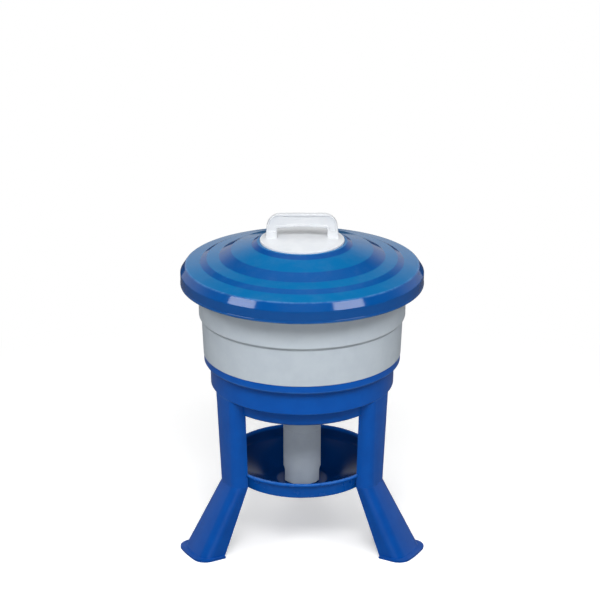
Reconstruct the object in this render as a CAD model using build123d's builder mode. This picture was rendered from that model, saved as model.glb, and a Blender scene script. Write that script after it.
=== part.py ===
from build123d import *
import math
import os

# Poultry drinker: a lidded tank on a three-legged stand, over a round drinking bowl.
# All sizes in millimetres. Z is up, the floor is Z = 0 and the drinker's axis is the Z axis.
# The handle faces the front (minus Y); two legs stand beside the front, the third at the rear.

os.makedirs("parts", exist_ok=True)

WALL = 3.0
LEG_ANGLES = (210.0, 330.0, 90.0)
LEG_NAMES = ("left", "right", "rear")

# Lid: a stepped, gently domed moulding with a deep skirt
LID_RADIUS = 205.2
LID_BOTTOM = 456.0
LID_SKIRT_TOP = 477.0
LID_RIDGE_RADIUS = 196.8
LID_RIDGE_Z = 489.6
LID_SEAT_Z = 529.0
LID_SEAT_RADIUS = 74.5
LID_HOLE_RADIUS = 23.0
SEAL_INNER = 171.0
SEAL_OUTER = 180.6
SEAL_BOTTOM = 484.0
SEAL_TOP = 489.0

# White handle: domed disc with an upright grip and a threaded spigot below
DISC_RADIUS = 71.0
DISC_EDGE = 3.4
DISC_CROWN_Z = 537.0
GRIP_TOP_Z = 576.8
GRIP_BASE_HALF = 61.5
GRIP_TOP_HALF = 57.0
GRIP_CORNER = 25.0
GRIP_DEPTH = 10.0
GRIP_BORDER = 3.4
GRIP_POCKET = 1.5
POCKET_FLOOR_Z = 546.0
SLOT_HALF = 42.2
SLOT_TOP_Z = 555.2
SLOT_END_Z = 552.4
SPIGOT_RADIUS = 22.0
SPIGOT_BOTTOM = 503.0

# Tank
TANK_RIM_RADIUS = 175.0
TANK_STEP_Z = 402.0
TANK_WALL_RADIUS = 170.6
TANK_SHOULDER_Z = 333.0
TANK_LOWER_RADIUS = 151.5
TANK_FLOOR_Z = 256.5
NECK_RADIUS = 28.4
NECK_BOTTOM = 214.0
SEAL_Z = 232.0

# Outlet tube
TUBE_RADIUS = 32.4
TUBE_BORE = 29.6
SOCKET_RADIUS = 33.4
SOCKET_BOTTOM = 196.0
TUBE_TOP = 249.0
TUBE_BOTTOM = 94.2
NOTCH_TOP = 118.5
NOTCH_WIDTH = 26.0

# Stand: stepped collar and three hollow columns, one moulding
COLLAR_TOP = 333.0
COLLAR_FLANGE_RADIUS = 167.2
COLLAR_BAND_RADIUS = 157.2
COLLAR_BAND_BOTTOM = 277.5
COLLAR_STEP_RADIUS = 140.6
COLLAR_FLOOR = 250.5
COLLAR_HOLE = 38.0
COLUMN_TOP = 278.0
COLUMN_BOTTOM = 116.0

# Bowl
BOWL_BOTTOM = 110.7
BOWL_BASE_RADIUS = 121.2
BOWL_RIM_RADIUS = 130.4
BOWL_RIM_Z = 140.0
BOWL_FLOOR = 93.0

# Leg fixing: one upright screw in each leg clamps foot, bowl ear and stand
SCREW_AXIS_RADIUS = 137.5
SHELF_Z = 120.6
EAR_Z = 124.6
BOSS_Z = 128.6
FOOT_LIP = 3.4


def unit(a, b):
    """Direction from a to b and the distance between them."""
    dx, dz = b[0] - a[0], b[1] - a[1]
    length = math.hypot(dx, dz)
    return dx / length, dz / length, length


def rounded_outline(points):
    """Closed outline through (x, z, corner radius) points, drawn into the open line block."""
    count = len(points)
    starts, ends, mids = [], [], []
    for i in range(count):
        x, z, radius = points[i]
        ux, uz, back = unit((x, z), points[i - 1])
        vx, vz, ahead = unit((x, z), points[(i + 1) % count])
        half = math.acos(max(-1.0, min(1.0, ux * vx + uz * vz))) / 2.0
        if radius <= 0.0 or half > math.pi / 2.0 - 1e-3:
            starts.append((x, z))
            ends.append((x, z))
            mids.append(None)
            continue
        cut = min(radius / math.tan(half), 0.47 * back, 0.47 * ahead)
        radius = cut * math.tan(half)
        bx, bz = ux + vx, uz + vz
        scale = math.hypot(bx, bz)
        reach = radius / math.sin(half) - radius
        starts.append((x + ux * cut, z + uz * cut))
        ends.append((x + vx * cut, z + vz * cut))
        mids.append((x + bx / scale * reach, z + bz / scale * reach))
    for i in range(count):
        if mids[i] is not None:
            ThreePointArc(starts[i], mids[i], ends[i])
        Line(ends[i], starts[(i + 1) % count])


def wall_outline(points, thick):
    """Outline of a thin wall. The points run along the outer face, the plain inner face is to their left."""
    count = len(points)
    inner = []
    for i in range(count):
        x, z, radius = points[i]
        normals = []
        if i > 0:
            ux, uz, _ = unit(points[i - 1], points[i])
            normals.append((-uz, ux))
        if i < count - 1:
            vx, vz, _ = unit(points[i], points[i + 1])
            normals.append((-vz, vx))
        if len(normals) == 1:
            nx, nz = normals[0]
            inner.append((x + nx * thick, z + nz * thick, 0.0))
            continue
        (ax, az), (bx, bz) = normals
        share = 1.0 + ax * bx + az * bz
        inner.append((x + (ax + bx) / share * thick, z + (az + bz) / share * thick, 0.0))
    return points + inner[::-1]


def turn(points):
    """Revolve a closed (radius, height, corner) outline about the Z axis, in the open part block."""
    with BuildSketch(Plane.XZ) as profile:
        with BuildLine():
            rounded_outline(points)
        make_face()
    revolve(profile.sketch, axis=Axis.Z)


def ring(inner, outer, low, high):
    """Plain ring about the Z axis, in the open part block."""
    turn([(inner, low, 0), (outer, low, 0), (outer, high, 0), (inner, high, 0)])


def dome_z(crown, edge_radius, edge_z, radius):
    """Height at a radius on the round cap through the crown on the axis and through its edge."""
    drop = crown - edge_z
    sphere = (edge_radius ** 2 + drop ** 2) / (2.0 * drop)
    return crown - sphere + math.sqrt(sphere ** 2 - radius ** 2)


def leg_section(outer, half, corner, face, inner):
    """Leg section lying along the X axis: two straight sides and an arched outer face."""
    centre = outer - face
    reach = math.sqrt((face - corner) ** 2 - (half - corner) ** 2)
    tangent = math.atan2(half - corner, reach)
    side_x = centre + reach
    middle = (math.pi / 2.0 + tangent) / 2.0
    corner_y = half - corner
    edge_x, edge_y = centre + face * math.cos(tangent), face * math.sin(tangent)
    mid_x = side_x + corner * math.cos(middle)
    mid_y = corner_y + corner * math.sin(middle)
    Line((inner, -half), (side_x, -half))
    ThreePointArc((side_x, -half), (mid_x, -mid_y), (edge_x, -edge_y))
    ThreePointArc((edge_x, -edge_y), (outer, 0.0), (edge_x, edge_y))
    ThreePointArc((edge_x, edge_y), (mid_x, mid_y), (side_x, half))
    Line((side_x, half), (inner, half))
    Line((inner, half), (inner, -half))


def leg_loft(low_z, low, high_z, high, mode=Mode.ADD):
    """Straight loft between two leg sections at two heights, in the open part block."""
    with BuildSketch(Plane.XY.offset(low_z)) as lower:
        with BuildLine():
            leg_section(*low)
        make_face()
    with BuildSketch(Plane.XY.offset(high_z)) as upper:
        with BuildLine():
            leg_section(*high)
        make_face()
    loft([lower.sketch, upper.sketch], ruled=True, mode=mode)


def at_height(low_z, low, high_z, high, level):
    """Section values between two sections, taken at a level in straight proportion."""
    share = (level - low_z) / (high_z - low_z)
    return [a + (b - a) * share for a, b in zip(low, high)]


# Lid: outer face from the skirt edge up and in to the middle hole
lid_face = [
    (LID_RADIUS - 0.3, LID_BOTTOM + 1.6, 0),
    (LID_RADIUS, LID_SKIRT_TOP, 2.2),
    (LID_RIDGE_RADIUS, LID_RIDGE_Z, 3.6),
    (171.6, 494.4, 5.0),
    (160.6, 500.0, 5.0),
    (140.0, 503.6, 7.0),
    (119.5, 514.2, 8.0),
    (84.5, 523.4, 7.0),
    (LID_SEAT_RADIUS + 1.2, LID_SEAT_Z, 3.0),
    (LID_HOLE_RADIUS, LID_SEAT_Z, 0),
]
with BuildPart() as lid_rib:
    with BuildSketch(Plane.XZ):
        with BuildLine():
            Polyline((86.0, 521.4), (119.5, 512.7), (140.5, 501.8), (160.0, 498.6), (160.0, 495.4),
                     (138.0, 495.4), (116.0, 502.0), (86.0, 516.0), close=True)
        make_face()
    extrude(amount=1.1, both=True)
with BuildPart() as lid:
    turn(wall_outline(lid_face, WALL))
    # rolled lip along the lower edge of the skirt
    turn([(LID_RADIUS - 4.0, LID_BOTTOM, 1.7), (LID_RADIUS + 0.2, LID_BOTTOM, 1.9),
          (LID_RADIUS + 0.2, LID_BOTTOM + 4.0, 1.6), (LID_RADIUS - 4.0, LID_BOTTOM + 4.0, 0)])
    # two low walls and a flat seat that hold the seal ring
    turn([(168.4, 482.2, 0), (SEAL_INNER - 0.2, 482.2, 0), (SEAL_INNER - 0.2, SEAL_TOP, 0),
          (SEAL_OUTER + 0.2, SEAL_TOP, 0), (SEAL_OUTER + 0.2, 482.2, 0), (183.2, 482.2, 0),
          (183.2, 490.8, 0), (168.4, 493.0, 0)])
    with PolarLocations(0, 12):
        add(lid_rib.part)
lid.part.label = "lid"
export_step(lid.part, "parts/lid.step")

# Seal ring between lid and tank rim
with BuildPart() as lid_seal:
    turn([(SEAL_INNER, SEAL_BOTTOM, 1.2), (SEAL_OUTER, SEAL_BOTTOM, 1.2),
          (SEAL_OUTER, SEAL_TOP, 1.0), (SEAL_INNER, SEAL_TOP, 1.0)])
lid_seal.part.label = "lid_seal"
export_step(lid_seal.part, "parts/lid_seal.step")

# Grip of the handle: an arched plate with a finger gap and a shallow sunk field on both faces
with BuildPart() as grip:
    with BuildSketch(Plane.XZ):
        with BuildLine():
            rounded_outline([
                (-GRIP_BASE_HALF, DISC_CROWN_Z - 5.0, 0),
                (GRIP_BASE_HALF, DISC_CROWN_Z - 5.0, 0),
                (GRIP_TOP_HALF, GRIP_TOP_Z, GRIP_CORNER),
                (-GRIP_TOP_HALF, GRIP_TOP_Z, GRIP_CORNER),
            ])
        make_face()
        with BuildLine():
            rounded_outline([
                (-SLOT_HALF, DISC_CROWN_Z - 4.0, 0),
                (SLOT_HALF, DISC_CROWN_Z - 4.0, 0),
                (SLOT_HALF, SLOT_END_Z, 2.5),
                (0.0, SLOT_TOP_Z, 120.0),
                (-SLOT_HALF, SLOT_END_Z, 2.5),
            ])
        make_face(mode=Mode.SUBTRACT)
    extrude(amount=GRIP_DEPTH / 2.0, both=True)
    rims = edges().filter_by(lambda e: abs(abs(e.center().Y) - GRIP_DEPTH / 2.0) < 0.01
                             and e.center().Z > DISC_CROWN_Z)
    fillet(rims, radius=1.2)
    for side in (1.0, -1.0):
        with BuildSketch(Plane.XZ.offset(side * GRIP_DEPTH / 2.0)):
            with BuildLine():
                rounded_outline([
                    (-GRIP_BASE_HALF + GRIP_BORDER + 1.5, POCKET_FLOOR_Z, 4.0),
                    (GRIP_BASE_HALF - GRIP_BORDER - 1.5, POCKET_FLOOR_Z, 4.0),
                    (GRIP_TOP_HALF - GRIP_BORDER, GRIP_TOP_Z - GRIP_BORDER, GRIP_CORNER - GRIP_BORDER),
                    (-GRIP_TOP_HALF + GRIP_BORDER, GRIP_TOP_Z - GRIP_BORDER, GRIP_CORNER - GRIP_BORDER),
                ])
            make_face()
            with BuildLine():
                rounded_outline([
                    (-SLOT_HALF - 3.0, POCKET_FLOOR_Z - 3.0, 0),
                    (SLOT_HALF + 3.0, POCKET_FLOOR_Z - 3.0, 0),
                    (SLOT_HALF + 3.0, SLOT_END_Z + 3.6, 5.0),
                    (0.0, SLOT_TOP_Z + 3.8, 120.0),
                    (-SLOT_HALF - 3.0, SLOT_END_Z + 3.6, 5.0),
                ])
            make_face(mode=Mode.SUBTRACT)
        extrude(amount=-side * GRIP_POCKET, taper=25.0, mode=Mode.SUBTRACT)

# Handle: the grip, its domed disc and the threaded spigot in one moulding
outer_mid = dome_z(DISC_CROWN_Z, DISC_RADIUS - 1.4, LID_SEAT_Z + DISC_EDGE, 36.0)
inner_mid = dome_z(DISC_CROWN_Z - WALL, DISC_RADIUS - 2.6, LID_SEAT_Z, 36.0)
with BuildPart() as handle:
    with BuildSketch(Plane.XZ):
        with BuildLine():
            Line((0.0, DISC_CROWN_Z - WALL), (0.0, DISC_CROWN_Z))
            ThreePointArc((0.0, DISC_CROWN_Z), (36.0, outer_mid),
                          (DISC_RADIUS - 1.4, LID_SEAT_Z + DISC_EDGE))
            ThreePointArc((DISC_RADIUS - 1.4, LID_SEAT_Z + DISC_EDGE),
                          (DISC_RADIUS - 0.42, LID_SEAT_Z + DISC_EDGE - 0.42),
                          (DISC_RADIUS, LID_SEAT_Z + DISC_EDGE - 1.4))
            Line((DISC_RADIUS, LID_SEAT_Z + DISC_EDGE - 1.4), (DISC_RADIUS, LID_SEAT_Z))
            Line((DISC_RADIUS, LID_SEAT_Z), (DISC_RADIUS - 2.6, LID_SEAT_Z))
            ThreePointArc((DISC_RADIUS - 2.6, LID_SEAT_Z), (36.0, inner_mid),
                          (0.0, DISC_CROWN_Z - WALL))
        make_face()
    revolve(axis=Axis.Z)
    add(grip.part)
    ring(SPIGOT_RADIUS - 3.2, SPIGOT_RADIUS, SPIGOT_BOTTOM, DISC_CROWN_Z - 1.5)
    # raised turns that stand for the thread
    for turn_z in (506.0, 509.5):
        turn([(SPIGOT_RADIUS - 0.4, turn_z - 0.9, 0), (SPIGOT_RADIUS + 0.8, turn_z, 0),
              (SPIGOT_RADIUS - 0.4, turn_z + 0.9, 0)])
handle.part.label = "lid_handle"
export_step(handle.part, "parts/lid_handle.step")

# Washer and ring nut that clamp the handle from below
with BuildPart() as handle_washer:
    ring(SPIGOT_RADIUS + 0.2, 35.0, 523.8, LID_SEAT_Z - WALL)
handle_washer.part.label = "handle_washer"
export_step(handle_washer.part, "parts/handle_washer.step")

with BuildPart() as handle_nut:
    turn([(SPIGOT_RADIUS + 0.15, 512.4, 0), (31.5, 512.4, 1.5), (31.5, 520.8, 1.5),
          (37.0, 520.8, 1.0), (37.0, 523.8, 0), (SPIGOT_RADIUS + 0.15, 523.8, 0)])
    with PolarLocations(31.8, 6):
        with Locations((0.0, 0.0, 517.0)):
            Box(4.0, 7.0, 8.6)
handle_nut.part.label = "handle_nut"
export_step(handle_nut.part, "parts/handle_nut.step")

# Tank: rim band, rounded step, tapered wall, shoulder and stepped lower part
tank_face = [
    (NECK_RADIUS, TANK_FLOOR_Z, 0),
    (130.6, TANK_FLOOR_Z, 5.0),
    (133.4, 279.0, 4.0),
    (150.4, 283.0, 4.5),
    (TANK_LOWER_RADIUS, TANK_SHOULDER_Z, 2.0),
    (168.0, TANK_SHOULDER_Z, 1.2),
    (TANK_WALL_RADIUS, TANK_STEP_Z - 5.0, 2.5),
    (TANK_RIM_RADIUS, TANK_STEP_Z, 3.5),
    (TANK_RIM_RADIUS + 0.4, SEAL_BOTTOM - 0.8, 0),
]
with BuildPart() as tank:
    turn(wall_outline(tank_face, WALL))
    ring(172.5, 180.2, SEAL_BOTTOM - 3.0, SEAL_BOTTOM)
tank.part.label = "tank"
export_step(tank.part, "parts/tank.step")

# Outlet neck: a short sleeve set into the hole of the tank floor, with a groove for its seal
with BuildPart() as outlet_neck:
    turn([(NECK_RADIUS - 2.6, NECK_BOTTOM, 0), (NECK_RADIUS, NECK_BOTTOM, 1.0),
          (NECK_RADIUS, SEAL_Z - 1.3, 0), (NECK_RADIUS - 1.2, SEAL_Z - 1.3, 0),
          (NECK_RADIUS - 1.2, SEAL_Z + 1.3, 0), (NECK_RADIUS, SEAL_Z + 1.3, 0),
          (NECK_RADIUS, TANK_FLOOR_Z + WALL, 0), (NECK_RADIUS - 2.6, TANK_FLOOR_Z + WALL, 0)])
outlet_neck.part.label = "outlet_neck"
export_step(outlet_neck.part, "parts/outlet_neck.step")

# Seal ring in the groove of the neck
with BuildPart() as tube_seal:
    turn([(NECK_RADIUS - 1.2, SEAL_Z - 0.7, 0), (NECK_RADIUS - 0.7, SEAL_Z - 1.2, 0),
          (NECK_RADIUS + 0.7, SEAL_Z - 1.2, 0), (NECK_RADIUS + 1.2, SEAL_Z - 0.7, 0),
          (NECK_RADIUS + 1.2, SEAL_Z + 0.7, 0), (NECK_RADIUS + 0.7, SEAL_Z + 1.2, 0),
          (NECK_RADIUS - 0.7, SEAL_Z + 1.2, 0), (NECK_RADIUS - 1.2, SEAL_Z + 0.7, 0)])
tube_seal.part.label = "tube_seal"
export_step(tube_seal.part, "parts/tube_seal.step")

# Outlet tube: socket end on the neck, two air notches at the foot
with BuildPart() as notch:
    with BuildSketch(Plane.YZ.offset(TUBE_BORE - 10.0)):
        with BuildLine():
            rounded_outline([
                (-NOTCH_WIDTH / 2.0, TUBE_BOTTOM - 5.0, 0),
                (NOTCH_WIDTH / 2.0, TUBE_BOTTOM - 5.0, 0),
                (NOTCH_WIDTH / 2.0, NOTCH_TOP, 5.5),
                (-NOTCH_WIDTH / 2.0, NOTCH_TOP, 5.5),
            ])
        make_face()
    extrude(amount=16.0)
with BuildPart() as outlet_tube:
    turn([(TUBE_BORE, TUBE_BOTTOM, 0), (TUBE_RADIUS, TUBE_BOTTOM, 0.8),
          (TUBE_RADIUS, SOCKET_BOTTOM - 6.0, 0), (TUBE_RADIUS - 0.7, SOCKET_BOTTOM - 5.0, 0),
          (TUBE_RADIUS - 0.7, SOCKET_BOTTOM, 0), (SOCKET_RADIUS, SOCKET_BOTTOM, 1.0),
          (SOCKET_RADIUS, TUBE_TOP, 0.8), (TUBE_BORE, TUBE_TOP, 0)])
    with PolarLocations(0, 2):
        add(notch.part, mode=Mode.SUBTRACT)
outlet_tube.part.label = "outlet_tube"
export_step(outlet_tube.part, "parts/outlet_tube.step")

# Column of the stand: hollow, open towards the axis, narrower at the foot
column_low = (150.0, 31.0, 18.0, 150.0, 124.0)
column_high = (156.0, 36.0, 18.0, 156.0, 131.0)
hollow_low = (150.0 - WALL, 31.0 - WALL, 15.0, 147.0, 98.0)
hollow_high = (156.0 - WALL, 36.0 - WALL, 15.0, 153.0, 98.0)
with BuildPart() as column:
    leg_loft(COLUMN_BOTTOM, column_low, COLUMN_TOP, column_high)
    below = at_height(COLUMN_BOTTOM, hollow_low, COLUMN_TOP, hollow_high, COLUMN_BOTTOM - 1.0)
    above = at_height(COLUMN_BOTTOM, hollow_low, COLUMN_TOP, hollow_high, COLUMN_TOP - 4.0)
    leg_loft(COLUMN_BOTTOM - 1.0, below, COLUMN_TOP - 4.0, above, mode=Mode.SUBTRACT)
    # room for the inside of the collar and for the rim of the bowl
    with Locations((0.0, 0.0, COLLAR_FLOOR + 41.5)):
        Cylinder(COLLAR_STEP_RADIUS - 2.0, 80.0, mode=Mode.SUBTRACT)
    with Locations((0.0, 0.0, BOWL_RIM_Z - 2.9)):
        Cylinder(BOWL_RIM_RADIUS + 0.6, 7.4, mode=Mode.SUBTRACT)
    # screw boss and the rib that ties it to the outer face
    with Locations((SCREW_AXIS_RADIUS, 0.0, BOSS_Z + 15.0)):
        Cylinder(5.4, 30.0)
    with Locations((SCREW_AXIS_RADIUS + 6.8, 0.0, BOSS_Z + 15.0)):
        Box(8.4, 2.6, 30.0)
    with Locations((SCREW_AXIS_RADIUS, 0.0, BOSS_Z + 10.0)):
        Cylinder(1.95, 22.0, mode=Mode.SUBTRACT)

# Stand: collar and three columns in one moulding
collar_face = [
    (COLLAR_HOLE, COLLAR_FLOOR, 0),
    (138.4, COLLAR_FLOOR, 5.0),
    (COLLAR_STEP_RADIUS, 275.6, 3.0),
    (156.2, COLLAR_BAND_BOTTOM, 2.4),
    (COLLAR_BAND_RADIUS, 315.4, 3.5),
    (165.6, 318.6, 2.5),
    (COLLAR_FLANGE_RADIUS, 321.4, 2.2),
    (COLLAR_FLANGE_RADIUS, COLLAR_TOP, 0),
]
with BuildPart() as stand:
    turn(wall_outline(collar_face, WALL))
    # short guide around the tube hole
    ring(COLLAR_HOLE, COLLAR_HOLE + 2.6, COLLAR_FLOOR - 5.0, COLLAR_FLOOR + 1.0)
    with PolarLocations(0, 3, start_angle=90.0):
        add(column.part)
stand.part.label = "stand"
export_step(stand.part, "parts/stand.step")

# Bowl: dished floor, flared wall, rolled rim and three screw ears
with BuildPart() as bowl:
    turn([
        (0.0, BOWL_FLOOR - WALL, 0),
        (46.0, BOWL_FLOOR - WALL, 14.0),
        (112.0, 115.6, 0),
        (118.2, BOWL_BOTTOM, 0),
        (BOWL_BASE_RADIUS, BOWL_BOTTOM, 1.4),
        (126.4, 133.8, 1.8),
        (BOWL_RIM_RADIUS, 135.2, 1.4),
        (BOWL_RIM_RADIUS, BOWL_RIM_Z, 1.6),
        (125.9, BOWL_RIM_Z, 1.8),
        (119.8, 121.0, 6.0),
        (45.0, BOWL_FLOOR, 16.0),
        (0.0, BOWL_FLOOR, 0),
    ])
    for angle in LEG_ANGLES:
        bearing = math.radians(angle)
        across = Plane(origin=(0.0, 0.0, EAR_Z), x_dir=(math.cos(bearing), math.sin(bearing), 0.0),
                       z_dir=(0.0, 0.0, 1.0))
        with BuildSketch(across):
            with Locations(((SCREW_AXIS_RADIUS + 123.0) / 2.0, 0.0)):
                Rectangle(SCREW_AXIS_RADIUS - 123.0, 15.0)
            with Locations((SCREW_AXIS_RADIUS, 0.0)):
                Circle(7.5)
                Circle(2.5, mode=Mode.SUBTRACT)
        extrude(amount=BOSS_Z - EAR_Z)
bowl.part.label = "bowl"
export_step(bowl.part, "parts/bowl.step")

# Foot: splayed channel with a floor lip, plugged into the column
foot_low = (219.0, 40.0, 20.0, 200.0, 176.0)
foot_high = (150.0, 31.0, 18.0, 150.0, 124.0)
void_low = (219.0 - 3.5, 40.0 - WALL, 17.0, 197.0, 120.0)
void_high = (150.0 - 3.5, 31.0 - WALL, 15.0, 147.0, 80.0)
with BuildPart() as foot:
    leg_loft(0.0, foot_low, COLUMN_BOTTOM, foot_high)
    with BuildSketch(Plane.XY):
        with BuildLine():
            leg_section(227.2, 44.5, 23.0, 208.0, 176.0)
        make_face()
    extrude(amount=FOOT_LIP)
    # plug inside the column end
    with BuildSketch(Plane.XY.offset(COLUMN_BOTTOM - 4.0)):
        with BuildLine():
            leg_section(146.6, 31.0 - WALL - 0.4, 14.6, 146.6, 126.6)
        make_face()
    extrude(amount=EAR_Z - COLUMN_BOTTOM + 4.0)
    low_void = at_height(0.0, void_low, COLUMN_BOTTOM, void_high, -1.0)
    leg_loft(-1.0, low_void, COLUMN_BOTTOM, void_high, mode=Mode.SUBTRACT)
    with BuildSketch(Plane.XY.offset(COLUMN_BOTTOM - 1.0)):
        with BuildLine():
            leg_section(143.6, 24.6, 12.0, 143.6, 80.0)
        make_face()
    extrude(amount=SHELF_Z - COLUMN_BOTTOM + 1.0, mode=Mode.SUBTRACT)
    with Locations((SCREW_AXIS_RADIUS, 0.0, SHELF_Z)):
        Cylinder(2.4, 20.0, mode=Mode.SUBTRACT)
for angle, name in zip(LEG_ANGLES, LEG_NAMES):
    placed = foot.part.rotate(Axis.Z, angle)
    placed.label = "foot_" + name
    export_step(placed, "parts/foot_" + name + ".step")

# Screw of each leg: pan head below the foot shelf, shank up into the boss
with BuildPart() as screw:
    with Locations((SCREW_AXIS_RADIUS, 0.0, SHELF_Z - 1.5)):
        Cylinder(4.2, 3.0)
    with Locations((SCREW_AXIS_RADIUS, 0.0, SHELF_Z + 13.0)):
        Cylinder(1.9, 27.0)
    with Locations((SCREW_AXIS_RADIUS, 0.0, SHELF_Z - 2.8)):
        Box(4.6, 1.0, 1.4, mode=Mode.SUBTRACT)
        Box(1.0, 4.6, 1.4, mode=Mode.SUBTRACT)
    fillet(edges().filter_by(GeomType.CIRCLE).group_by(Axis.Z)[0], radius=0.9)
for angle, name in zip(LEG_ANGLES, LEG_NAMES):
    placed = screw.part.rotate(Axis.Z, angle)
    placed.label = "screw_" + name
    export_step(placed, "parts/screw_" + name + ".step")
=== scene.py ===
import math

import bpy
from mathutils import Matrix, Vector


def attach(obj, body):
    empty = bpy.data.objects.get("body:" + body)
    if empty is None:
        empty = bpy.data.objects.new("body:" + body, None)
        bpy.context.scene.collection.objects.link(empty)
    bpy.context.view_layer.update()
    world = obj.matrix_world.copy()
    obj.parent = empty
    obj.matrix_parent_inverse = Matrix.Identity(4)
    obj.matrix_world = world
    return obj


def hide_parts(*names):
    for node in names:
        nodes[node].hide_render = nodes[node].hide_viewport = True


# A poultry drinker: a lidded grey tank on a blue three-legged stand, above a round bowl.
# Metres. The drinker's axis is the Z axis, the floor is Z = 0 and the front is minus Y.

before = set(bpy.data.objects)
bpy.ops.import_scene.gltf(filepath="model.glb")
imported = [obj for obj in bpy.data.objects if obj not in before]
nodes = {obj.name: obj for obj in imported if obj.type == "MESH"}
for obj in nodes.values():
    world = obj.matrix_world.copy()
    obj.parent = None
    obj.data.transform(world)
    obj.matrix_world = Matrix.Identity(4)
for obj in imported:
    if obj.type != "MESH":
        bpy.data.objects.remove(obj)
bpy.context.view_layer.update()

# Camera, from the photograph
CAMERA_DISTANCE = 3.5
CAMERA_TILT = math.radians(20.02)
CAMERA_AIM_Z = 0.423
CAMERA_ASIDE = -0.0036
CAMERA_LENS = 124.0

# Levels of the room, and of the floor as it lights the drinker and as the camera sees it
ROOM_DARK = 0.03
ROOM_BACKDROP = 0.55
ROOM_CEILING = 0.20
FLOOR_HALF = 14.0
FLOOR_PAINT = 0.20
FLOOR_SHOWN = 0.96
FLOOR_LIFT = 0.31
SHADOW_REACH = (0.45, 1.1)

# Lamps: azimuth and elevation in degrees, distance, width, height, radiance, seen in reflections
LAMP_AIM_Z = 0.35
LAMPS = {
    "left_softbox": (-62.5, 39.5, 2.2, 0.82, 0.5, 6.0, True),
    "right_softbox": (48.5, 42.3, 2.2, 0.90, 0.5, 6.0, True),
    "high_fill": (0.0, 48.0, 3.2, 2.0, 1.2, 9.0, False),
    "low_fill": (0.0, 12.0, 3.2, 2.0, 1.2, 3.9, False),
    "left_fill": (-90.0, 25.0, 2.6, 1.0, 1.4, 3.0, False),
    "right_fill": (90.0, 25.0, 2.6, 1.0, 1.4, 2.9, False),
    "overhead_fill": (180.0, 76.0, 2.2, 1.4, 1.4, 1.0, False),
}

# Colours of the plastics, rubber and steel, linear
LID_BLUE = (0.001, 0.070, 0.285)
LID_BLUE_DEEP = (0.001, 0.066, 0.27)
# Painted top light: a lighter lid blue for faces that look up
LID_BLUE_TOP_LIT = (0.001, 0.150, 0.385)
STAND_BLUE = (0.001, 0.091, 0.44)
STAND_BLUE_DEEP = (0.001, 0.083, 0.41)
# Painted top light: a lighter stand blue for faces that look up
STAND_BLUE_TOP_LIT = (0.001, 0.095, 0.43)
# Painted light: the bowl's blue is a lighter copy of the stand's blue, standing in for more light on its
# front
BOWL_BLUE_LIT = (0.001, 0.100, 0.47)
BOWL_BLUE_LIT_DEEP = (0.001, 0.090, 0.43)
# Painted shade: the darker blue of the bowl's inside
BOWL_PAINTED_SHADE = (0.001, 0.030, 0.145)
# Painted shade: the feet's blue is a darker copy of the stand's blue
FOOT_BLUE_SHADED = (0.001, 0.070, 0.345)
FOOT_BLUE_SHADED_DEEP = (0.001, 0.062, 0.315)
# Lighter ring colour: partly rubbed wear on the edges, partly painted highlight lines
BLUE_RUB_AND_HIGHLIGHT = (0.10, 0.27, 0.56)
TANK_GREY = (0.55, 0.615, 0.675)
TANK_GREY_DEEP = (0.52, 0.585, 0.65)
# Lighter ring colour of the tank: partly rubbed wear, partly a painted highlight line
GREY_RUB_AND_HIGHLIGHT = (0.62, 0.67, 0.72)
WHITE = (0.71, 0.73, 0.755)
WHITE_DEEP = (0.67, 0.695, 0.725)
RUBBER = (0.018, 0.018, 0.02)
RUBBER_DEEP = (0.010, 0.010, 0.012)
STEEL = (0.56, 0.56, 0.58)
STEEL_DEEP = (0.40, 0.40, 0.42)
DUST = (0.55, 0.53, 0.49)

# How much dust adds to the roughness, and how much water takes from it
DUST_DULLS = 0.8
WATER_POLISHES = 0.12

# Turned pieces, as in the solid model: radius, height and corner radius of each profile point
WALL = 0.003
LIP_INNER = 0.2012
LIP_TOP = 0.4600
LID_FACE = [
    (LIP_INNER, 0.4560, 0.0017),
    (0.2054, 0.4560, 0.0019),
    (0.2054, LIP_TOP, 0.0010),
    (0.2050, 0.4606, 0.0),
    (0.2052, 0.4770, 0.0022),
    (0.1968, 0.4896, 0.0036),
    (0.1716, 0.4944, 0.0050),
    (0.1606, 0.5000, 0.0050),
    (0.1400, 0.5036, 0.0070),
    (0.1195, 0.5142, 0.0080),
    (0.0845, 0.5234, 0.0070),
    (0.0757, 0.5290, 0.0030),
    (0.0230, 0.5290, 0.0),
]
TANK_FACE = [
    (0.0284, 0.2565, 0.0),
    (0.1306, 0.2565, 0.0050),
    (0.1334, 0.2790, 0.0040),
    (0.1504, 0.2830, 0.0045),
    (0.1515, 0.3330, 0.0020),
    (0.1680, 0.3330, 0.0012),
    (0.1706, 0.3970, 0.0025),
    (0.1750, 0.4020, 0.0035),
    (0.1754, 0.4810, 0.0),
    (0.1802, 0.4810, 0.0012),
    (0.1802, 0.4840, 0.0010),
    (0.1725, 0.4840, 0.0),
]

# Fineness of the turned pieces
STEPS_AROUND = 192
ARC_STEP = math.radians(9.0)
HOLDING_POINT = 0.0004
SHARP_ANGLE = math.radians(34.0)

# Seat of the lid's seal, between two low walls that hang from the lid
SEAL_OUTER = 0.1808
SEAL_INNER = 0.1708
SEAL_TOP = 0.4890
SEAL_WALL = 0.0024
SEAL_WALL_FOOT = 0.4822
SEAL_WALL_CORNER = 0.0005

# Ribs below the raised middle of the lid: radius and height of each point of the outline
RIB_COUNT = 12
RIB_HALF = 0.0011
RIB_OUTLINE = [
    (0.0860, 0.5214),
    (0.1195, 0.5127),
    (0.1405, 0.5018),
    (0.1600, 0.4986),
    (0.1600, 0.4954),
    (0.1380, 0.4954),
    (0.1160, 0.5020),
    (0.0860, 0.5160),
]


def link(tree, source, target):
    tree.links.new(source, target)


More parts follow.
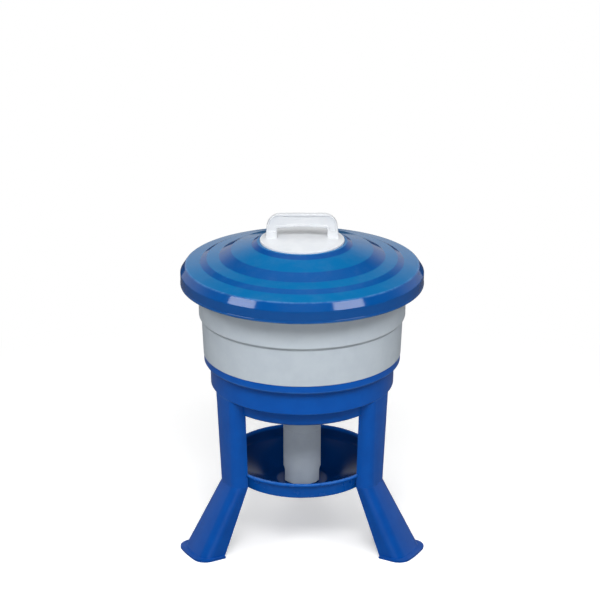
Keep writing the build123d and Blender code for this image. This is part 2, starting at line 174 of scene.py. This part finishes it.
def math_node(tree, operation, first, second=None, third=None):
    """Math node whose inputs are sockets or numbers; gives back its output."""
    node = tree.nodes.new("ShaderNodeMath")
    node.operation = operation
    for place, value in enumerate((first, second, third)):
        if value is None:
            continue
        if isinstance(value, (int, float)):
            node.inputs[place].default_value = value
        else:
            link(tree, value, node.inputs[place])
    return node.outputs[0]


def ramp(tree, value, low, high, to_low=0.0, to_high=1.0):
    """Smooth Map Range node; gives back its output."""
    node = tree.nodes.new("ShaderNodeMapRange")
    node.interpolation_type = "SMOOTHSTEP"
    for label, number in (("From Min", low), ("From Max", high), ("To Min", to_low), ("To Max", to_high)):
        if isinstance(number, (int, float)):
            node.inputs[label].default_value = number
        else:
            link(tree, number, node.inputs[label])
    link(tree, value, node.inputs["Value"])
    return node.outputs["Result"]


def noise(tree, place, scale, detail=2.0, roughness=0.5):
    """Noise on the given coordinates; gives back its height output."""
    node = tree.nodes.new("ShaderNodeTexNoise")
    node.inputs["Detail"].default_value = detail
    node.inputs["Roughness"].default_value = roughness
    link(tree, place, node.inputs["Vector"])
    if isinstance(scale, (int, float)):
        node.inputs["Scale"].default_value = scale
    else:
        link(tree, scale, node.inputs["Scale"])
    return node.outputs["Fac"]


def blend_colour(tree, share, first, second):
    """Colour mix of two colours or sockets; gives back its output."""
    node = tree.nodes.new("ShaderNodeMix")
    node.data_type = "RGBA"
    link(tree, share, node.inputs["Factor"])
    for socket, value in ((node.inputs[6], first), (node.inputs[7], second)):
        if isinstance(value, tuple):
            socket.default_value = (*value, 1.0)
        else:
            link(tree, value, socket)
    return node.outputs[2]


def group(name, inputs, outputs):
    """Empty shader node group with named number inputs (name, value) and outputs (name)."""
    tree = bpy.data.node_groups.new(name, "ShaderNodeTree")
    for label, value in inputs:
        socket = tree.interface.new_socket(label, in_out="INPUT", socket_type="NodeSocketFloat")
        socket.default_value = value
    for label in outputs:
        tree.interface.new_socket(label, in_out="OUTPUT", socket_type="NodeSocketFloat")
    return tree, tree.nodes.new("NodeGroupInput"), tree.nodes.new("NodeGroupOutput")


def upward(tree):
    """How far the face looks up: the Z part of its normal."""
    split = tree.nodes.new("ShaderNodeSeparateXYZ")
    link(tree, tree.nodes.new("ShaderNodeNewGeometry").outputs["Normal"], split.inputs[0])
    return split.outputs["Z"]


def reach_and_height(tree, place):
    """Distance from the Z axis and height of a point."""
    split = tree.nodes.new("ShaderNodeSeparateXYZ")
    link(tree, place, split.inputs[0])
    across = math_node(tree, "MULTIPLY", split.outputs["X"], split.outputs["X"])
    squared = math_node(tree, "MULTIPLY_ADD", split.outputs["Y"], split.outputs["Y"], across)
    return math_node(tree, "SQRT", squared), split.outputs["Z"]


def moulded_skin_group():
    """Skin of a moulding: fine grain, slow waviness from shrinkage, and uneven gloss."""
    tree, given, made = group("moulded_skin", [
        ("Grain Size", 900.0), ("Grain", 0.5), ("Waviness", 0.5), ("Gloss", 0.3), ("Gloss Spread", 0.06),
    ], ["Height", "Roughness", "Drift"])
    place = tree.nodes.new("ShaderNodeTexCoord").outputs["Object"]
    grain = noise(tree, place, given.outputs["Grain Size"], 2.0, 0.55)
    waves = noise(tree, place, 14.0, 1.0, 0.4)
    cloud = noise(tree, place, 38.0, 3.0, 0.6)
    fine = math_node(tree, "MULTIPLY", grain, given.outputs["Grain"])
    slow = math_node(tree, "MULTIPLY", waves, given.outputs["Waviness"])
    link(tree, math_node(tree, "ADD", fine, slow), made.inputs["Height"])
    swing = math_node(tree, "SUBTRACT", cloud, 0.5)
    gloss = math_node(tree, "MULTIPLY_ADD", swing, given.outputs["Gloss Spread"], given.outputs["Gloss"])
    link(tree, gloss, made.inputs["Roughness"])
    link(tree, ramp(tree, cloud, 0.35, 0.7), made.inputs["Drift"])
    return tree


def ring_rub_and_highlight_group():
    """Rubbed edge of a turned moulding, also a painted highlight line: a broken lighter band along the ring
    at a radius and a height.
    """
    tree, given, made = group("ring_rub_and_highlight", [
        ("Radius", 0.2), ("Level", 0.4), ("Reach", 0.002), ("Amount", 0.5),
    ], ["Mask"])
    place = tree.nodes.new("ShaderNodeTexCoord").outputs["Object"]
    reach, height = reach_and_height(tree, place)
    aside = math_node(tree, "SUBTRACT", reach, given.outputs["Radius"])
    above = math_node(tree, "SUBTRACT", height, given.outputs["Level"])
    aside_squared = math_node(tree, "MULTIPLY", aside, aside)
    away = math_node(tree, "SQRT", math_node(tree, "MULTIPLY_ADD", above, above, aside_squared))
    near = ramp(tree, away, 0.0, given.outputs["Reach"], 1.0, 0.0)
    broken = ramp(tree, noise(tree, place, 60.0, 4.0, 0.7), 0.36, 0.62, 0.35, 1.0)
    mask = math_node(tree, "MULTIPLY", math_node(tree, "MULTIPLY", near, broken), given.outputs["Amount"])
    link(tree, mask, made.inputs["Mask"])
    return tree


def settled_dust_group():
    """Faint dust on faces that look up, thicker in soft patches."""
    tree, given, made = group("settled_dust", [("Amount", 0.05), ("Patch Size", 30.0)], ["Mask"])
    place = tree.nodes.new("ShaderNodeTexCoord").outputs["Object"]
    level = ramp(tree, upward(tree), 0.55, 0.98)
    patches = ramp(tree, noise(tree, place, given.outputs["Patch Size"], 5.0, 0.65), 0.42, 0.72)
    specks = ramp(tree, noise(tree, place, 900.0, 2.0, 0.6), 0.50, 0.66)
    cover = math_node(tree, "MULTIPLY_ADD", specks, 0.5, patches)
    mask = math_node(tree, "MULTIPLY", math_node(tree, "MULTIPLY", level, cover), given.outputs["Amount"])
    link(tree, mask, made.inputs["Mask"])
    return tree


def painted_top_light_group():
    """Painted top light: how far a blue moulding is lightened, most on faces that look up, as if lit from
    above.
    """
    tree, given, made = group("painted_top_light", [("Amount", 1.0)], ["Mask"])
    place = tree.nodes.new("ShaderNodeTexCoord").outputs["Object"]
    level = ramp(tree, upward(tree), 0.86, 0.995)
    uneven = ramp(tree, noise(tree, place, 9.0, 2.0, 0.5), 0.3, 0.7, 0.88, 1.0)
    mask = math_node(tree, "MULTIPLY", math_node(tree, "MULTIPLY", level, uneven), given.outputs["Amount"])
    link(tree, mask, made.inputs["Mask"])
    return tree


def basin_shade_and_gloss_group():
    """Mask of the bowl's inside, from faces that look up, below the rim and within the wall: it darkens the
    colour there as painted shade and sharpens the gloss.
    """
    tree, given, made = group("basin_painted_shade_and_gloss", [
        ("Wall Radius", 0.1262), ("Rim Height", 0.139), ("Amount", 1.0),
    ], ["Mask"])
    reach, height = reach_and_height(tree, tree.nodes.new("ShaderNodeTexCoord").outputs["Object"])
    within = math_node(tree, "SUBTRACT", given.outputs["Wall Radius"], reach)
    below = math_node(tree, "SUBTRACT", given.outputs["Rim Height"], height)
    mask = math_node(tree, "MULTIPLY", ramp(tree, within, 0.0, 0.0006), ramp(tree, below, 0.0, 0.006))
    mask = math_node(tree, "MULTIPLY", mask, ramp(tree, upward(tree), 0.10, 0.25))
    link(tree, math_node(tree, "MULTIPLY", mask, given.outputs["Amount"]), made.inputs["Mask"])
    return tree


def place_group(tree, shared, values=None):
    """Put a shared group into a material, with its own values where they are given."""
    node = tree.nodes.new("ShaderNodeGroup")
    node.node_tree = shared
    for label, value in (values or {}).items():
        node.inputs[label].default_value = value
    return node


def open_material(name):
    """New material; gives back it, its tree and its shader."""
    material = bpy.data.materials.new(name)
    material.use_nodes = True
    return material, material.node_tree, material.node_tree.nodes["Principled BSDF"]


def add_relief(tree, shader, height, strength, distance):
    """Bump of the shader from a height."""
    relief = tree.nodes.new("ShaderNodeBump")
    relief.inputs["Strength"].default_value = strength
    relief.inputs["Distance"].default_value = distance
    link(tree, height, relief.inputs["Height"])
    link(tree, relief.outputs["Normal"], shader.inputs["Normal"])


def moulded_plastic(name, colour, deep, skin, specular, bump, rub_and_highlight_rings=(), rub_and_highlight_colour=None, top_lit=None, basin_shade=None,
                    dust=0.04):
    """Moulded plastic: drifting colour, painted top light, rubs that are also painted highlight lines,
    faint dust, painted shade with sharper gloss inside, grain and uneven gloss.
    """
    material, tree, shader = open_material(name)
    skin_node = place_group(tree, GROUPS["skin"], skin)
    paint = blend_colour(tree, skin_node.outputs["Drift"], colour, deep)
    # Painted top light: faces that look up are lightened
    if top_lit:
        top_light_node = place_group(tree, GROUPS["fade"])
        paint = blend_colour(tree, top_light_node.outputs["Mask"], paint, top_lit)
    gloss = skin_node.outputs["Roughness"]
    # Rings lightened partly as rubbed wear and partly as painted highlight lines
    for radius, level, reach, amount in rub_and_highlight_rings:
        rub_and_highlight = place_group(tree, GROUPS["rub_and_highlight"], {"Radius": radius, "Level": level, "Reach": reach,
                                                "Amount": amount})
        paint = blend_colour(tree, rub_and_highlight.outputs["Mask"], paint, rub_and_highlight_colour)
    dust_node = place_group(tree, GROUPS["dust"], {"Amount": dust})
    paint = blend_colour(tree, dust_node.outputs["Mask"], paint, DUST)
    gloss = math_node(tree, "MULTIPLY_ADD", dust_node.outputs["Mask"], DUST_DULLS, gloss)
    # Painted shade in the bowl's inside, with sharper gloss
    if basin_shade:
        basin_shade_node = place_group(tree, GROUPS["basin_shade"])
        paint = blend_colour(tree, basin_shade_node.outputs["Mask"], paint, basin_shade)
        gloss = math_node(tree, "MULTIPLY_ADD", basin_shade_node.outputs["Mask"], -WATER_POLISHES, gloss)
    link(tree, paint, shader.inputs["Base Color"])
    link(tree, gloss, shader.inputs["Roughness"])
    shader.inputs["Specular IOR Level"].default_value = specular
    add_relief(tree, shader, skin_node.outputs["Height"], bump, 0.0006)
    return material


def soft_rubber():
    """Matt black rubber of the washer and the seal rings."""
    skin = {"Grain Size": 1600.0, "Grain": 0.8, "Waviness": 0.1, "Gloss": 0.62, "Gloss Spread": 0.1}
    return moulded_plastic("seal_rubber", RUBBER, RUBBER_DEEP, skin, 0.4, 0.25, dust=0.02)


def turned_steel():
    """Steel of the screws, with fine marks from the making of the head."""
    material, tree, shader = open_material("screw_steel")
    place = tree.nodes.new("ShaderNodeTexCoord").outputs["Object"]
    streaks = noise(tree, place, 700.0, 4.0, 0.6)
    stains = ramp(tree, noise(tree, place, 120.0, 3.0, 0.6), 0.4, 0.7)
    link(tree, blend_colour(tree, stains, STEEL, STEEL_DEEP), shader.inputs["Base Color"])
    link(tree, ramp(tree, streaks, 0.3, 0.7, 0.22, 0.40), shader.inputs["Roughness"])
    shader.inputs["Metallic"].default_value = 1.0
    add_relief(tree, shader, streaks, 0.15, 0.0002)
    return material


def step_off(points, index, towards):
    """Unit direction and distance from one profile point to its neighbour."""
    x, z = points[index][:2]
    dx, dz = points[towards][0] - x, points[towards][1] - z
    length = math.hypot(dx, dz)
    return dx / length, dz / length, length


def rounded_profile(points):
    """Closed profile with its corners rounded, and points that hold the flat faces flat."""
    path = []
    count = len(points)
    for i in range(count):
        x, z, radius = points[i]
        ux, uz, back = step_off(points, i, i - 1)
        vx, vz, ahead = step_off(points, i, (i + 1) % count)
        half = math.acos(max(-1.0, min(1.0, ux * vx + uz * vz))) / 2.0
        if radius <= 0.0 or half > math.pi / 2.0 - 1e-3:
            path.append((x, z))
            continue
        cut = min(radius / math.tan(half), 0.44 * back, 0.44 * ahead)
        radius = cut * math.tan(half)
        sx, sz = ux + vx, uz + vz
        scale = math.hypot(sx, sz)
        to_centre = radius / math.sin(half)
        cx, cz = x + sx / scale * to_centre, z + sz / scale * to_centre
        start = math.atan2(z + uz * cut - cz, x + ux * cut - cx)
        end = math.atan2(z + vz * cut - cz, x + vx * cut - cx)
        sweep = (end - start + math.pi) % (2.0 * math.pi) - math.pi
        steps = max(2, math.ceil(abs(sweep) / ARC_STEP))
        hold = min(HOLDING_POINT, 0.03 * back, 0.03 * ahead)
        path.append((x + ux * (cut + hold), z + uz * (cut + hold)))
        for k in range(steps + 1):
            angle = start + sweep * k / steps
            path.append((cx + radius * math.cos(angle), cz + radius * math.sin(angle)))
        path.append((x + vx * (cut + hold), z + vz * (cut + hold)))
    return path


def offset_face(points, thick):
    """The plain inner face of a thin wall, to the left of its outer face."""
    inner = []
    count = len(points)
    for i in range(count):
        x, z = points[i][:2]
        normals = []
        if i > 0:
            ux, uz, _ = step_off(points, i - 1, i)
            normals.append((-uz, ux))
        if i < count - 1:
            vx, vz, _ = step_off(points, i, i + 1)
            normals.append((-vz, vx))
        if len(normals) == 1:
            inner.append((x + normals[0][0] * thick, z + normals[0][1] * thick, 0.0))
            continue
        (ax, az), (bx, bz) = normals
        share = 1.0 + ax * bx + az * bz
        inner.append((x + (ax + bx) / share * thick, z + (az + bz) / share * thick, 0.0))
    return inner


def open_shape_tree(name, seed, settings):
    """Geometry Nodes tree with a seed, its settings and a finish; gives back it and the finish's socket."""
    tree = bpy.data.node_groups.new(name, "GeometryNodeTree")
    tree.interface.new_socket(seed, in_out="INPUT", socket_type="NodeSocketGeometry")
    for label, kind, value in settings:
        tree.interface.new_socket(label, in_out="INPUT", socket_type=kind).default_value = value
    finish = tree.interface.new_socket("Finish", in_out="INPUT", socket_type="NodeSocketMaterial")
    tree.interface.new_socket("Shape", in_out="OUTPUT", socket_type="NodeSocketGeometry")
    return tree, tree.nodes.new("NodeGroupInput"), finish.identifier


def close_shape_tree(tree, given, shape):
    """End of a Geometry Nodes tree: the instances made real and the finish set."""
    real = tree.nodes.new("GeometryNodeRealizeInstances")
    link(tree, shape, real.inputs[0])
    coat = tree.nodes.new("GeometryNodeSetMaterial")
    link(tree, real.outputs[0], coat.inputs["Geometry"])
    link(tree, given.outputs["Finish"], coat.inputs["Material"])
    link(tree, coat.outputs[0], tree.nodes.new("NodeGroupOutput").inputs[0])


def turned_shell_tree():
    """Geometry Nodes tree that turns a profile (radius in X, height in Z) about the Z axis."""
    tree, given, finish = open_shape_tree("turned_shell", "Profile", [
        ("Steps Around", "NodeSocketInt", STEPS_AROUND), ("Sharp Angle", "NodeSocketFloat", SHARP_ANGLE),
    ])
    new = tree.nodes.new
    size = new("GeometryNodeAttributeDomainSize")
    size.component = "MESH"
    link(tree, given.outputs["Profile"], size.inputs[0])
    grid = new("GeometryNodeMeshGrid")
    grid.inputs["Size X"].default_value = 1.0
    grid.inputs["Size Y"].default_value = 1.0
    link(tree, math_node(tree, "ADD", given.outputs["Steps Around"], 1.0), grid.inputs["Vertices X"])
    link(tree, size.outputs["Point Count"], grid.inputs["Vertices Y"])
    split = new("ShaderNodeSeparateXYZ")
    link(tree, new("GeometryNodeInputPosition").outputs[0], split.inputs[0])
    angle = math_node(tree, "MULTIPLY_ADD", split.outputs["X"], 2.0 * math.pi, math.pi)
    last = math_node(tree, "SUBTRACT", size.outputs["Point Count"], 1.0)
    along = math_node(tree, "MULTIPLY", math_node(tree, "ADD", split.outputs["Y"], 0.5), last)
    pick = new("GeometryNodeSampleIndex")
    pick.data_type = "FLOAT_VECTOR"
    pick.domain = "POINT"
    link(tree, given.outputs["Profile"], pick.inputs["Geometry"])
    link(tree, new("GeometryNodeInputPosition").outputs[0], pick.inputs["Value"])
    link(tree, math_node(tree, "ROUND", along), pick.inputs["Index"])
    spot = new("ShaderNodeSeparateXYZ")
    link(tree, pick.outputs[0], spot.inputs[0])
    turned = new("ShaderNodeCombineXYZ")
    for operation, axis in (("COSINE", "X"), ("SINE", "Y")):
        wave = math_node(tree, operation, angle)
        link(tree, math_node(tree, "MULTIPLY", wave, spot.outputs["X"]), turned.inputs[axis])
    link(tree, spot.outputs["Z"], turned.inputs["Z"])
    move = new("GeometryNodeSetPosition")
    link(tree, grid.outputs["Mesh"], move.inputs["Geometry"])
    link(tree, turned.outputs[0], move.inputs["Position"])
    weld = new("GeometryNodeMergeByDistance")
    weld.inputs["Distance"].default_value = 1e-6
    link(tree, move.outputs[0], weld.inputs["Geometry"])
    smooth = new("GeometryNodeSetShadeSmooth")
    link(tree, weld.outputs[0], smooth.inputs["Geometry"])
    crease = new("GeometryNodeSetShadeSmooth")
    crease.domain = "EDGE"
    crease.inputs["Shade Smooth"].default_value = False
    bend = new("GeometryNodeInputMeshEdgeAngle")
    sharp = math_node(tree, "GREATER_THAN", bend.outputs["Unsigned Angle"], given.outputs["Sharp Angle"])
    link(tree, smooth.outputs[0], crease.inputs["Geometry"])
    link(tree, sharp, crease.inputs["Selection"])
    close_shape_tree(tree, given, crease.outputs[0])
    return tree, finish


def rib_ring_tree():
    """Geometry Nodes tree that repeats one rib evenly about the Z axis."""
    tree, given, finish = open_shape_tree("rib_ring", "Rib", [("Ribs", "NodeSocketInt", RIB_COUNT)])
    new = tree.nodes.new
    points = new("GeometryNodePoints")
    link(tree, given.outputs["Ribs"], points.inputs["Count"])
    share = math_node(tree, "DIVIDE", new("GeometryNodeInputIndex").outputs[0], given.outputs["Ribs"])
    angle = math_node(tree, "MULTIPLY", share, 2.0 * math.pi)
    turn = new("ShaderNodeCombineXYZ")
    link(tree, angle, turn.inputs["Z"])
    repeat = new("GeometryNodeInstanceOnPoints")
    link(tree, points.outputs[0], repeat.inputs["Points"])
    link(tree, given.outputs["Rib"], repeat.inputs["Instance"])
    link(tree, turn.outputs[0], repeat.inputs["Rotation"])
    close_shape_tree(tree, given, repeat.outputs[0])
    return tree, finish


def grow(name, seed, shape_tree, material):
    """Run a Geometry Nodes tree on a seed mesh and keep the result as a plain object."""
    tree, finish = shape_tree
    carrier = bpy.data.objects.new(name + "_seed", seed)
    bpy.context.scene.collection.objects.link(carrier)
    modifier = carrier.modifiers.new(name, "NODES")
    modifier.node_group = tree
    modifier[finish] = material
    depsgraph = bpy.context.evaluated_depsgraph_get()
    mesh = bpy.data.meshes.new_from_object(carrier.evaluated_get(depsgraph), depsgraph=depsgraph)
    bpy.data.objects.remove(carrier)
    mesh.name = name
    mesh.materials.clear()
    mesh.materials.append(material)
    piece = bpy.data.objects.new(name, mesh)
    bpy.context.scene.collection.objects.link(piece)
    return piece


def turned_piece(name, profile, material):
    """Closed turned piece from a profile of radii and heights, run counter-clockwise."""
    path = rounded_profile(profile)
    path.append(path[0])
    seed = bpy.data.meshes.new(name + "_profile")
    seed.from_pydata([(x, 0.0, z) for x, z in path], [(i, i + 1) for i in range(len(path) - 1)], [])
    return grow(name, seed, TREES["shell"], material)


def lid_profile():
    """Outer face of the lid, back along its inner face with the two walls that hold the seal."""
    inner = offset_face(LID_FACE[3:], WALL)
    outer_wall, inner_wall = SEAL_OUTER + SEAL_WALL, SEAL_INNER - SEAL_WALL
    outside = [point for point in inner if point[0] > outer_wall]
    inside = [point for point in inner if point[0] < inner_wall]

    def inner_height(radius):
        for (x0, z0, _), (x1, z1, _) in zip(inner, inner[1:]):
            if x1 <= radius <= x0:
                return z0 + (z1 - z0) * (radius - x0) / (x1 - x0)

    holder = [
        (outer_wall, inner_height(outer_wall), 0.0),
        (outer_wall, SEAL_WALL_FOOT, SEAL_WALL_CORNER),
        (SEAL_OUTER, SEAL_WALL_FOOT, SEAL_WALL_CORNER),
        (SEAL_OUTER, SEAL_TOP, 0.0),
        (SEAL_INNER, SEAL_TOP, 0.0),
        (SEAL_INNER, SEAL_WALL_FOOT, SEAL_WALL_CORNER),
        (inner_wall, SEAL_WALL_FOOT, SEAL_WALL_CORNER),
        (inner_wall, inner_height(inner_wall), 0.0),
    ]
    back = inside[::-1] + holder[::-1] + outside[::-1]
    return LID_FACE + back[:-1] + [(back[-1][0], LIP_TOP, 0.0), (LIP_INNER, LIP_TOP, 0.0)]


def lid_rib():
    """One rib below the raised middle of the lid."""
    count = len(RIB_OUTLINE)
    points = [(x, side, z) for side in (-RIB_HALF, RIB_HALF) for x, z in RIB_OUTLINE]
    faces = [tuple(reversed(range(count))), tuple(range(count, 2 * count))]
    faces += [(i, (i + 1) % count, (i + 1) % count + count, i + count) for i in range(count)]
    mesh = bpy.data.meshes.new("lid_rib")
    mesh.from_pydata(points, [], faces)
    return mesh


def place_camera():
    """Camera at the photograph's viewing angle."""
    data = bpy.data.cameras.new("camera")
    data.sensor_width = 36.0
    data.lens = CAMERA_LENS
    data.clip_start = 0.1
    data.clip_end = 60.0
    camera = bpy.data.objects.new("camera", data)
    bpy.context.scene.collection.objects.link(camera)
    camera.location = (CAMERA_ASIDE, -CAMERA_DISTANCE * math.cos(CAMERA_TILT),
                       CAMERA_AIM_Z + CAMERA_DISTANCE * math.sin(CAMERA_TILT))
    camera.rotation_euler = (math.pi / 2.0 - CAMERA_TILT, 0.0, 0.0)
    bpy.context.scene.camera = camera


def softbox(name, azimuth, elevation, distance, width, height, radiance, mirrored):
    """Rectangular lamp aimed at the drinker. Azimuth 0 is the front, 90 the right side."""
    aim = Vector((0.0, 0.0, LAMP_AIM_Z))
    data = bpy.data.lights.new(name, "AREA")
    data.shape = "RECTANGLE"
    data.size = width
    data.size_y = height
    data.energy = radiance * math.pi * width * height
    lamp = bpy.data.objects.new(name, data)
    lamp.visible_glossy = mirrored
    bpy.context.scene.collection.objects.link(lamp)
    turn, rise = math.radians(azimuth), math.radians(elevation)
    way = Vector((math.sin(turn) * math.cos(rise), -math.cos(turn) * math.cos(rise), math.sin(rise)))
    lamp.location = aim + way * distance
    lamp.rotation_euler = (-way).to_track_quat("-Z", "Y").to_euler()


def studio_world():
    """White for the camera; for the light a dim room with a pale backdrop and a pale ceiling."""
    world = bpy.data.worlds.new("studio")
    bpy.context.scene.world = world
    world.use_nodes = True
    tree = world.node_tree
    tree.nodes.clear()
    out = tree.nodes.new("ShaderNodeOutputWorld")
    split = tree.nodes.new("ShaderNodeSeparateXYZ")
    link(tree, tree.nodes.new("ShaderNodeTexCoord").outputs["Generated"], split.inputs[0])
    behind = ramp(tree, split.outputs["Y"], -0.1, 0.5)
    backdrop = ramp(tree, split.outputs["Z"], 0.22, 0.62, ROOM_BACKDROP, 0.0)
    ceiling = ramp(tree, split.outputs["Z"], 0.70, 0.95, ROOM_DARK, ROOM_CEILING)
    room = tree.nodes.new("ShaderNodeBackground")
    link(tree, math_node(tree, "MULTIPLY_ADD", behind, backdrop, ceiling), room.inputs["Color"])
    plain = tree.nodes.new("ShaderNodeBackground")
    plain.inputs["Color"].default_value = (1.0, 1.0, 1.0, 1.0)
    path = tree.nodes.new("ShaderNodeLightPath")
    seen = math_node(tree, "MAXIMUM", path.outputs["Is Camera Ray"], path.outputs["Is Transmission Ray"])
    mix = tree.nodes.new("ShaderNodeMixShader")
    link(tree, seen, mix.inputs["Fac"])
    link(tree, room.outputs[0], mix.inputs[1])
    link(tree, plain.outputs[0], mix.inputs[2])
    link(tree, mix.outputs[0], out.inputs["Surface"])


def lay_floor():
    """Plain pale floor that keeps the drinker's shadow and runs out into plain white."""
    corners = [(x * FLOOR_HALF, y * FLOOR_HALF, 0.0) for x, y in ((-1, -1), (1, -1), (1, 1), (-1, 1))]
    mesh = bpy.data.meshes.new("floor")
    mesh.from_pydata(corners, [], [(0, 1, 2, 3)])
    floor = bpy.data.objects.new("floor", mesh)
    bpy.context.scene.collection.objects.link(floor)
    material = bpy.data.materials.new("pale_floor")
    material.use_nodes = True
    tree = material.node_tree
    tree.nodes.clear()
    out = tree.nodes.new("ShaderNodeOutputMaterial")
    path = tree.nodes.new("ShaderNodeLightPath")
    away = tree.nodes.new("ShaderNodeVectorMath")
    away.operation = "LENGTH"
    link(tree, tree.nodes.new("ShaderNodeTexCoord").outputs["Object"], away.inputs[0])
    fade = ramp(tree, away.outputs["Value"], *SHADOW_REACH)
    shaded = tree.nodes.new("ShaderNodeBsdfDiffuse")
    tone = ramp(tree, path.outputs["Is Camera Ray"], 0.0, 1.0, FLOOR_PAINT, FLOOR_SHOWN)
    link(tree, tone, shaded.inputs["Color"])
    lift = tree.nodes.new("ShaderNodeEmission")
    lift.inputs["Color"].default_value = (1.0, 1.0, 1.0, 1.0)
    glow = math_node(tree, "MULTIPLY", path.outputs["Is Camera Ray"], FLOOR_LIFT)
    link(tree, glow, lift.inputs["Strength"])
    near = tree.nodes.new("ShaderNodeAddShader")
    link(tree, shaded.outputs[0], near.inputs[0])
    link(tree, lift.outputs[0], near.inputs[1])
    plain = tree.nodes.new("ShaderNodeEmission")
    plain.inputs["Color"].default_value = (1.0, 1.0, 1.0, 1.0)
    mix = tree.nodes.new("ShaderNodeMixShader")
    link(tree, math_node(tree, "MULTIPLY", fade, path.outputs["Is Camera Ray"]), mix.inputs["Fac"])
    link(tree, near.outputs[0], mix.inputs[1])
    link(tree, plain.outputs[0], mix.inputs[2])
    under = tree.nodes.new("ShaderNodeMixShader")
    link(tree, tree.nodes.new("ShaderNodeNewGeometry").outputs["Backfacing"], under.inputs["Fac"])
    link(tree, mix.outputs[0], under.inputs[1])
    link(tree, tree.nodes.new("ShaderNodeBsdfTransparent").outputs[0], under.inputs[2])
    link(tree, under.outputs[0], out.inputs["Surface"])
    mesh.materials.append(material)


place_camera()
studio_world()
lay_floor()
for lamp_name, lamp in LAMPS.items():
    softbox(lamp_name, *lamp)
bpy.context.scene.view_settings.view_transform = "Standard"

# Shared groups: the top-face group paints light, the ring group paints highlight lines as well as rubs, the
# basin group paints shade
GROUPS = {
    "skin": moulded_skin_group(), "rub_and_highlight": ring_rub_and_highlight_group(), "dust": settled_dust_group(),
    "fade": painted_top_light_group(), "basin_shade": basin_shade_and_gloss_group(),
}
TREES = {"shell": turned_shell_tree(), "ribs": rib_ring_tree()}

# Finishes
lid_blue = moulded_plastic(
    "lid_blue_plastic", LID_BLUE, LID_BLUE_DEEP,
    {"Grain Size": 1400.0, "Grain": 0.05, "Waviness": 0.6, "Gloss": 0.09, "Gloss Spread": 0.04},
    0.5, 0.10, rub_and_highlight_rings=[(0.1960, 0.4890, 0.0030, 0.55), (0.2054, 0.4570, 0.0022, 0.45)],
    rub_and_highlight_colour=BLUE_RUB_AND_HIGHLIGHT, top_lit=LID_BLUE_TOP_LIT, dust=0.02)
stand_blue = moulded_plastic(
    "stand_blue_plastic", STAND_BLUE, STAND_BLUE_DEEP,
    {"Grain Size": 1100.0, "Grain": 0.5, "Waviness": 0.4, "Gloss": 0.29, "Gloss Spread": 0.06},
    0.35, 0.12, rub_and_highlight_rings=[(0.1672, 0.3215, 0.0022, 0.3), (0.1562, 0.2775, 0.0022, 0.3)],
    rub_and_highlight_colour=BLUE_RUB_AND_HIGHLIGHT, top_lit=STAND_BLUE_TOP_LIT)
# The bowl's lighter blue is painted light
bowl_blue_lit = moulded_plastic(
    "bowl_blue_lit_plastic", BOWL_BLUE_LIT, BOWL_BLUE_LIT_DEEP,
    {"Grain Size": 1200.0, "Grain": 0.3, "Waviness": 0.4, "Gloss": 0.27, "Gloss Spread": 0.06},
    0.35, 0.12, rub_and_highlight_rings=[(0.1300, 0.1395, 0.0025, 0.4)], rub_and_highlight_colour=BLUE_RUB_AND_HIGHLIGHT, top_lit=STAND_BLUE_TOP_LIT,
    basin_shade=BOWL_PAINTED_SHADE)
# The feet's darker blue is painted shade
foot_blue_shaded = moulded_plastic(
    "foot_blue_shaded_plastic", FOOT_BLUE_SHADED, FOOT_BLUE_SHADED_DEEP,
    {"Grain Size": 1100.0, "Grain": 0.5, "Waviness": 0.4, "Gloss": 0.29, "Gloss Spread": 0.06},
    0.35, 0.12)
tank_grey = moulded_plastic(
    "tank_grey_plastic", TANK_GREY, TANK_GREY_DEEP,
    {"Grain Size": 1000.0, "Grain": 0.6, "Waviness": 0.5, "Gloss": 0.45, "Gloss Spread": 0.08},
    0.4, 0.14, rub_and_highlight_rings=[(0.1750, 0.4020, 0.0026, 0.35)], rub_and_highlight_colour=GREY_RUB_AND_HIGHLIGHT)
handle_white = moulded_plastic(
    "handle_white_plastic", WHITE, WHITE_DEEP,
    {"Grain Size": 1300.0, "Grain": 0.2, "Waviness": 0.4, "Gloss": 0.30, "Gloss Spread": 0.08},
    0.45, 0.10, dust=0.03)
seal_rubber = soft_rubber()
screw_steel = turned_steel()
FINISHES = {
    "foot_left": foot_blue_shaded, "foot_right": foot_blue_shaded, "foot_rear": foot_blue_shaded,
    "bowl": bowl_blue_lit, "tank": tank_grey, "outlet_neck": tank_grey, "outlet_tube": tank_grey,
    "lid": lid_blue, "lid_handle": handle_white, "handle_nut": handle_white,
    "handle_washer": seal_rubber, "lid_seal": seal_rubber, "tube_seal": seal_rubber,
    "screw_left": screw_steel, "screw_right": screw_steel, "screw_rear": screw_steel,
}
for name, node in nodes.items():
    node.data.materials.clear()
    node.data.materials.append(FINISHES.get(name, stand_blue))

# Lid and tank, turned from their profiles, and the lid's ribs
lid_shell = turned_piece("lid_shell", lid_profile(), lid_blue)
tank_shell = turned_piece("tank_shell", TANK_FACE + offset_face(TANK_FACE[:9], WALL)[::-1], tank_grey)
lid_ribs = grow("lid_ribs", lid_rib(), TREES["ribs"], lid_blue)
for piece, slot in ((lid_shell, "blue_plastic"), (lid_ribs, "blue_plastic"), (tank_shell, "grey_plastic")):
    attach(piece, "root")
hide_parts("lid")
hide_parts("tank")
